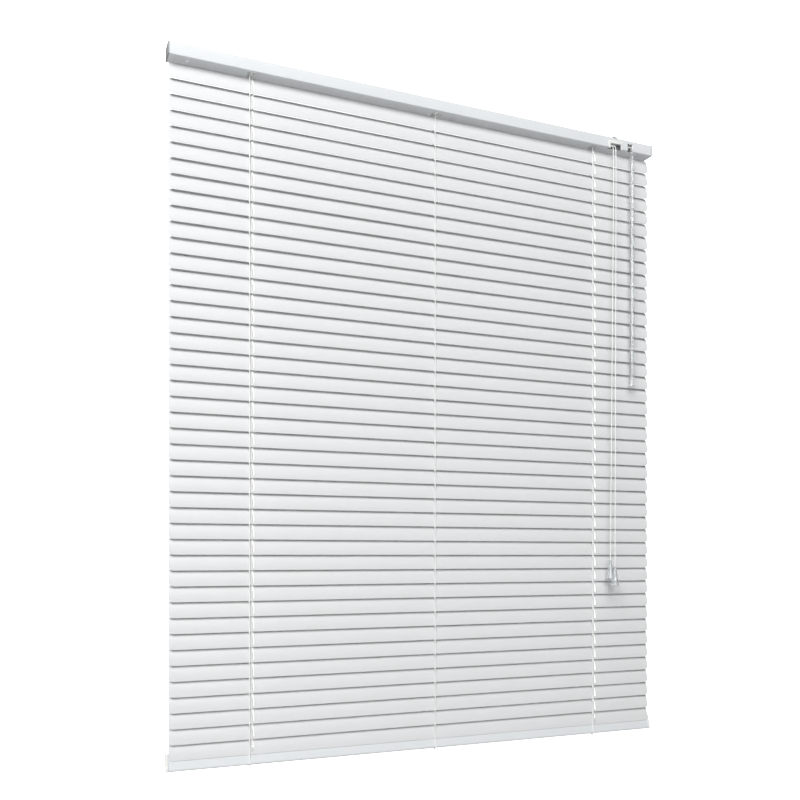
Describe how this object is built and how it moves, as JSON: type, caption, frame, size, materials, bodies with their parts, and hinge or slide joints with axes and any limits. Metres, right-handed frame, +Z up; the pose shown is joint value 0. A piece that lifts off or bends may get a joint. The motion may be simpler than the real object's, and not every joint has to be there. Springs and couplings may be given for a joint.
{
  "type": "venetian blind",
  "caption": "White venetian blind: curved slats tilt together on ladder cords under a slim headrail, with a clear wand, pull cords and a bottom rail.",
  "frame": {"origin": "midway between the two fixing holes, on the outer face of the headrail's base", "axes": "+X right along the headrail as seen from the room, +Y into the wall, +Z up"},
  "size_m": [0.807, 0.0527, 0.9922],
  "materials": {
    "paint": "satin white enamel",
    "slat_paint": "satin white coil coating",
    "white_plastic": "moulded, satin",
    "cap_plastic": "moulded, satin grey",
    "clear_plastic": "clear moulded plastic",
    "cord": "braided polyester",
    "zinc": "zinc plated"
  },
  "bodies": {
    "root": {"headrail": "paint", "headrail_end_caps": "cap_plastic", "drum_cradles": "white_plastic", "cord_lock": "white_plastic", "tilter_housing": "white_plastic", "lift_cords": "cord", "cord_tassels": "clear_plastic"},
    "tilt_rod": {"tilt_rod": "zinc", "tilt_drums": "white_plastic", "worm_wheel": "zinc"},
    "worm": {"worm_shaft": "zinc"},
    "wand": {"tilt_wand": "clear_plastic"},
    "ladder_front": {"ladder_front_cords": "cord"},
    "ladder_back": {"ladder_back_cords": "cord"},
    "rail": {"bottom_rail": "paint", "bottom_rail_end_caps": "white_plastic"},
    "slat_01": {"slat_01": "slat_paint"},
    "slat_02": {"slat_02": "slat_paint"},
    "slat_03": {"slat_03": "slat_paint"},
    "slat_04": {"slat_04": "slat_paint"},
    "slat_05": {"slat_05": "slat_paint"},
    "slat_06": {"slat_06": "slat_paint"},
    "slat_07": {"slat_07": "slat_paint"},
    "slat_08": {"slat_08": "slat_paint"},
    "slat_09": {"slat_09": "slat_paint"},
    "slat_10": {"slat_10": "slat_paint"},
    "slat_11": {"slat_11": "slat_paint"},
    "slat_12": {"slat_12": "slat_paint"},
    "slat_13": {"slat_13": "slat_paint"},
    "slat_14": {"slat_14": "slat_paint"},
    "slat_15": {"slat_15": "slat_paint"},
    "slat_16": {"slat_16": "slat_paint"},
    "slat_17": {"slat_17": "slat_paint"},
    "slat_18": {"slat_18": "slat_paint"},
    "slat_19": {"slat_19": "slat_paint"},
    "slat_20": {"slat_20": "slat_paint"},
    "slat_21": {"slat_21": "slat_paint"},
    "slat_22": {"slat_22": "slat_paint"},
    "slat_23": {"slat_23": "slat_paint"},
    "slat_24": {"slat_24": "slat_paint"},
    "slat_25": {"slat_25": "slat_paint"},
    "slat_26": {"slat_26": "slat_paint"},
    "slat_27": {"slat_27": "slat_paint"},
    "slat_28": {"slat_28": "slat_paint"},
    "slat_29": {"slat_29": "slat_paint"},
    "slat_30": {"slat_30": "slat_paint"},
    "slat_31": {"slat_31": "slat_paint"},
    "slat_32": {"slat_32": "slat_paint"},
    "slat_33": {"slat_33": "slat_paint"},
    "slat_34": {"slat_34": "slat_paint"},
    "slat_35": {"slat_35": "slat_paint"},
    "slat_36": {"slat_36": "slat_paint"},
    "slat_37": {"slat_37": "slat_paint"},
    "slat_38": {"slat_38": "slat_paint"},
    "slat_39": {"slat_39": "slat_paint"},
    "slat_40": {"slat_40": "slat_paint"},
    "slat_41": {"slat_41": "slat_paint"},
    "slat_42": {"slat_42": "slat_paint"},
    "slat_43": {"slat_43": "slat_paint"},
    "slat_44": {"slat_44": "slat_paint"}
  },
  "joints": [
    {"name": "rod_turn", "type": "hinge", "parent": "root", "child": "tilt_rod", "pos_m": [0, 0, 0.0085], "axis": [1, 0, 0], "range_deg": [-306, 0]},
    {"name": "worm_turn", "type": "hinge", "parent": "root", "child": "worm", "pos_m": [0.3576, -0.00508, 0.01206], "axis": [0, -0.5736, -0.8192], "range_deg": [-3684, 3684]},
    {"name": "wand_turn", "type": "hinge", "parent": "root", "child": "wand", "pos_m": [0.3576, -0.01701, -0.1], "axis": [0, 0, -1], "range_deg": [-3684, 3684]},
    {"name": "slat_01_tilt", "type": "hinge", "parent": "root", "child": "slat_01", "pos_m": [0, 0, -0.015], "axis": [1, 0, 0], "range_deg": [-151, 1]},
    {"name": "slat_02_tilt", "type": "hinge", "parent": "root", "child": "slat_02", "pos_m": [0, 0, -0.0367], "axis": [1, 0, 0], "range_deg": [-151, 1]},
    {"name": "slat_03_tilt", "type": "hinge", "parent": "root", "child": "slat_03", "pos_m": [0, 0, -0.0584], "axis": [1, 0, 0], "range_deg": [-151, 1]},
    {"name": "slat_04_tilt", "type": "hinge", "parent": "root", "child": "slat_04", "pos_m": [0, 0, -0.0801], "axis": [1, 0, 0], "range_deg": [-151, 1]},
    {"name": "slat_05_tilt", "type": "hinge", "parent": "root", "child": "slat_05", "pos_m": [0, 0, -0.1018], "axis": [1, 0, 0], "range_deg": [-151, 1]},
    {"name": "slat_06_tilt", "type": "hinge", "parent": "root", "child": "slat_06", "pos_m": [0, 0, -0.1235], "axis": [1, 0, 0], "range_deg": [-151, 1]},
    {"name": "slat_07_tilt", "type": "hinge", "parent": "root", "child": "slat_07", "pos_m": [0, 0, -0.1452], "axis": [1, 0, 0], "range_deg": [-151, 1]},
    {"name": "slat_08_tilt", "type": "hinge", "parent": "root", "child": "slat_08", "pos_m": [0, 0, -0.1669], "axis": [1, 0, 0], "range_deg": [-151, 1]},
    {"name": "slat_09_tilt", "type": "hinge", "parent": "root", "child": "slat_09", "pos_m": [0, 0, -0.1886], "axis": [1, 0, 0], "range_deg": [-151, 1]},
    {"name": "slat_10_tilt", "type": "hinge", "parent": "root", "child": "slat_10", "pos_m": [0, 0, -0.2103], "axis": [1, 0, 0], "range_deg": [-151, 1]},
    {"name": "slat_11_tilt", "type": "hinge", "parent": "root", "child": "slat_11", "pos_m": [0, 0, -0.232], "axis": [1, 0, 0], "range_deg": [-151, 1]},
    {"name": "slat_12_tilt", "type": "hinge", "parent": "root", "child": "slat_12", "pos_m": [0, 0, -0.2537], "axis": [1, 0, 0], "range_deg": [-151, 1]},
    {"name": "slat_13_tilt", "type": "hinge", "parent": "root", "child": "slat_13", "pos_m": [0, 0, -0.2754], "axis": [1, 0, 0], "range_deg": [-151, 1]},
    {"name": "slat_14_tilt", "type": "hinge", "parent": "root", "child": "slat_14", "pos_m": [0, 0, -0.2971], "axis": [1, 0, 0], "range_deg": [-151, 1]},
    {"name": "slat_15_tilt", "type": "hinge", "parent": "root", "child": "slat_15", "pos_m": [0, 0, -0.3188], "axis": [1, 0, 0], "range_deg": [-151, 1]},
    {"name": "slat_16_tilt", "type": "hinge", "parent": "root", "child": "slat_16", "pos_m": [0, 0, -0.3405], "axis": [1, 0, 0], "range_deg": [-151, 1]},
    {"name": "slat_17_tilt", "type": "hinge", "parent": "root", "child": "slat_17", "pos_m": [0, 0, -0.3622], "axis": [1, 0, 0], "range_deg": [-151, 1]},
    {"name": "slat_18_tilt", "type": "hinge", "parent": "root", "child": "slat_18", "pos_m": [0, 0, -0.3839], "axis": [1, 0, 0], "range_deg": [-151, 1]},
    {"name": "slat_19_tilt", "type": "hinge", "parent": "root", "child": "slat_19", "pos_m": [0, 0, -0.4056], "axis": [1, 0, 0], "range_deg": [-151, 1]},
    {"name": "slat_20_tilt", "type": "hinge", "parent": "root", "child": "slat_20", "pos_m": [0, 0, -0.4273], "axis": [1, 0, 0], "range_deg": [-151, 1]},
    {"name": "slat_21_tilt", "type": "hinge", "parent": "root", "child": "slat_21", "pos_m": [0, 0, -0.449], "axis": [1, 0, 0], "range_deg": [-151, 1]},
    {"name": "slat_22_tilt", "type": "hinge", "parent": "root", "child": "slat_22", "pos_m": [0, 0, -0.4707], "axis": [1, 0, 0], "range_deg": [-151, 1]},
    {"name": "slat_23_tilt", "type": "hinge", "parent": "root", "child": "slat_23", "pos_m": [0, 0, -0.4924], "axis": [1, 0, 0], "range_deg": [-151, 1]},
    {"name": "slat_24_tilt", "type": "hinge", "parent": "root", "child": "slat_24", "pos_m": [0, 0, -0.5141], "axis": [1, 0, 0], "range_deg": [-151, 1]},
    {"name": "slat_25_tilt", "type": "hinge", "parent": "root", "child": "slat_25", "pos_m": [0, 0, -0.5358], "axis": [1, 0, 0], "range_deg": [-151, 1]},
    {"name": "slat_26_tilt", "type": "hinge", "parent": "root", "child": "slat_26", "pos_m": [0, 0, -0.5575], "axis": [1, 0, 0], "range_deg": [-151, 1]},
    {"name": "slat_27_tilt", "type": "hinge", "parent": "root", "child": "slat_27", "pos_m": [0, 0, -0.5792], "axis": [1, 0, 0], "range_deg": [-151, 1]},
    {"name": "slat_28_tilt", "type": "hinge", "parent": "root", "child": "slat_28", "pos_m": [0, 0, -0.6009], "axis": [1, 0, 0], "range_deg": [-151, 1]},
    {"name": "slat_29_tilt", "type": "hinge", "parent": "root", "child": "slat_29", "pos_m": [0, 0, -0.6226], "axis": [1, 0, 0], "range_deg": [-151, 1]},
    {"name": "slat_30_tilt", "type": "hinge", "parent": "root", "child": "slat_30", "pos_m": [0, 0, -0.6443], "axis": [1, 0, 0], "range_deg": [-151, 1]},
    {"name": "slat_31_tilt", "type": "hinge", "parent": "root", "child": "slat_31", "pos_m": [0, 0, -0.666], "axis": [1, 0, 0], "range_deg": [-151, 1]},
    {"name": "slat_32_tilt", "type": "hinge", "parent": "root", "child": "slat_32", "pos_m": [0, 0, -0.6877], "axis": [1, 0, 0], "range_deg": [-151, 1]},
    {"name": "slat_33_tilt", "type": "hinge", "parent": "root", "child": "slat_33", "pos_m": [0, 0, -0.7094], "axis": [1, 0, 0], "range_deg": [-151, 1]},
    {"name": "slat_34_tilt", "type": "hinge", "parent": "root", "child": "slat_34", "pos_m": [0, 0, -0.7311], "axis": [1, 0, 0], "range_deg": [-151, 1]},
    {"name": "slat_35_tilt", "type": "hinge", "parent": "root", "child": "slat_35", "pos_m": [0, 0, -0.7528], "axis": [1, 0, 0], "range_deg": [-151, 1]},
    {"name": "slat_36_tilt", "type": "hinge", "parent": "root", "child": "slat_36", "pos_m": [0, 0, -0.7745], "axis": [1, 0, 0], "range_deg": [-151, 1]},
    {"name": "slat_37_tilt", "type": "hinge", "parent": "root", "child": "slat_37", "pos_m": [0, 0, -0.7962], "axis": [1, 0, 0], "range_deg": [-151, 1]},
    {"name": "slat_38_tilt", "type": "hinge", "parent": "root", "child": "slat_38", "pos_m": [0, 0, -0.8179], "axis": [1, 0, 0], "range_deg": [-151, 1]},
    {"name": "slat_39_tilt", "type": "hinge", "parent": "root", "child": "slat_39", "pos_m": [0, 0, -0.8396], "axis": [1, 0, 0], "range_deg": [-151, 1]},
    {"name": "slat_40_tilt", "type": "hinge", "parent": "root", "child": "slat_40", "pos_m": [0, 0, -0.8613], "axis": [1, 0, 0], "range_deg": [-151, 1]},
    {"name": "slat_41_tilt", "type": "hinge", "parent": "root", "child": "slat_41", "pos_m": [0, 0, -0.883], "axis": [1, 0, 0], "range_deg": [-151, 1]},
    {"name": "slat_42_tilt", "type": "hinge", "parent": "root", "child": "slat_42", "pos_m": [0, 0, -0.9047], "axis": [1, 0, 0], "range_deg": [-151, 1]},
    {"name": "slat_43_tilt", "type": "hinge", "parent": "root", "child": "slat_43", "pos_m": [0, 0, -0.9264], "axis": [1, 0, 0], "range_deg": [-151, 1]},
    {"name": "slat_44_tilt", "type": "hinge", "parent": "root", "child": "slat_44", "pos_m": [0, 0, -0.9481], "axis": [1, 0, 0], "range_deg": [-151, 1]},
    {"name": "rail_tilt", "type": "hinge", "parent": "root", "child": "rail", "pos_m": [0, 0, -0.9628], "axis": [1, 0, 0], "range_deg": [-151, 1]},
    {"name": "ladder_front_swing", "type": "hinge", "parent": "slat_01", "child": "ladder_front", "pos_m": [0, -0.00401, -0.02997], "axis": [1, 0, 0], "range_deg": [-1, 151]},
    {"name": "ladder_back_swing", "type": "hinge", "parent": "slat_01", "child": "ladder_back", "pos_m": [0, 0.00401, -0.00003], "axis": [1, 0, 0], "range_deg": [-1, 151]}
  ],
  "couplings": [
    {"joint": "worm_turn", "follows": "rod_turn", "ratio": -12},
    {"joint": "wand_turn", "follows": "rod_turn", "ratio": -12},
    {"joint": "slat_01_tilt", "follows": "rod_turn", "ratio": 0.4902},
    {"joint": "slat_02_tilt", "follows": "rod_turn", "ratio": 0.4902},
    {"joint": "slat_03_tilt", "follows": "rod_turn", "ratio": 0.4902},
    {"joint": "slat_04_tilt", "follows": "rod_turn", "ratio": 0.4902},
    {"joint": "slat_05_tilt", "follows": "rod_turn", "ratio": 0.4902},
    {"joint": "slat_06_tilt", "follows": "rod_turn", "ratio": 0.4902},
    {"joint": "slat_07_tilt", "follows": "rod_turn", "ratio": 0.4902},
    {"joint": "slat_08_tilt", "follows": "rod_turn", "ratio": 0.4902},
    {"joint": "slat_09_tilt", "follows": "rod_turn", "ratio": 0.4902},
    {"joint": "slat_10_tilt", "follows": "rod_turn", "ratio": 0.4902},
    {"joint": "slat_11_tilt", "follows": "rod_turn", "ratio": 0.4902},
    {"joint": "slat_12_tilt", "follows": "rod_turn", "ratio": 0.4902},
    {"joint": "slat_13_tilt", "follows": "rod_turn", "ratio": 0.4902},
    {"joint": "slat_14_tilt", "follows": "rod_turn", "ratio": 0.4902},
    {"joint": "slat_15_tilt", "follows": "rod_turn", "ratio": 0.4902},
    {"joint": "slat_16_tilt", "follows": "rod_turn", "ratio": 0.4902},
    {"joint": "slat_17_tilt", "follows": "rod_turn", "ratio": 0.4902},
    {"joint": "slat_18_tilt", "follows": "rod_turn", "ratio": 0.4902},
    {"joint": "slat_19_tilt", "follows": "rod_turn", "ratio": 0.4902},
    {"joint": "slat_20_tilt", "follows": "rod_turn", "ratio": 0.4902},
    {"joint": "slat_21_tilt", "follows": "rod_turn", "ratio": 0.4902},
    {"joint": "slat_22_tilt", "follows": "rod_turn", "ratio": 0.4902},
    {"joint": "slat_23_tilt", "follows": "rod_turn", "ratio": 0.4902},
    {"joint": "slat_24_tilt", "follows": "rod_turn", "ratio": 0.4902},
    {"joint": "slat_25_tilt", "follows": "rod_turn", "ratio": 0.4902},
    {"joint": "slat_26_tilt", "follows": "rod_turn", "ratio": 0.4902},
    {"joint": "slat_27_tilt", "follows": "rod_turn", "ratio": 0.4902},
    {"joint": "slat_28_tilt", "follows": "rod_turn", "ratio": 0.4902},
    {"joint": "slat_29_tilt", "follows": "rod_turn", "ratio": 0.4902},
    {"joint": "slat_30_tilt", "follows": "rod_turn", "ratio": 0.4902},
    {"joint": "slat_31_tilt", "follows": "rod_turn", "ratio": 0.4902},
    {"joint": "slat_32_tilt", "follows": "rod_turn", "ratio": 0.4902},
    {"joint": "slat_33_tilt", "follows": "rod_turn", "ratio": 0.4902},
    {"joint": "slat_34_tilt", "follows": "rod_turn", "ratio": 0.4902},
    {"joint": "slat_35_tilt", "follows": "rod_turn", "ratio": 0.4902},
    {"joint": "slat_36_tilt", "follows": "rod_turn", "ratio": 0.4902},
    {"joint": "slat_37_tilt", "follows": "rod_turn", "ratio": 0.4902},
    {"joint": "slat_38_tilt", "follows": "rod_turn", "ratio": 0.4902},
    {"joint": "slat_39_tilt", "follows": "rod_turn", "ratio": 0.4902},
    {"joint": "slat_40_tilt", "follows": "rod_turn", "ratio": 0.4902},
    {"joint": "slat_41_tilt", "follows": "rod_turn", "ratio": 0.4902},
    {"joint": "slat_42_tilt", "follows": "rod_turn", "ratio": 0.4902},
    {"joint": "slat_43_tilt", "follows": "rod_turn", "ratio": 0.4902},
    {"joint": "slat_44_tilt", "follows": "rod_turn", "ratio": 0.4902},
    {"joint": "rail_tilt", "follows": "rod_turn", "ratio": 0.4902},
    {"joint": "ladder_front_swing", "follows": "rod_turn", "ratio": -0.4902},
    {"joint": "ladder_back_swing", "follows": "rod_turn", "ratio": -0.4902}
  ]
}
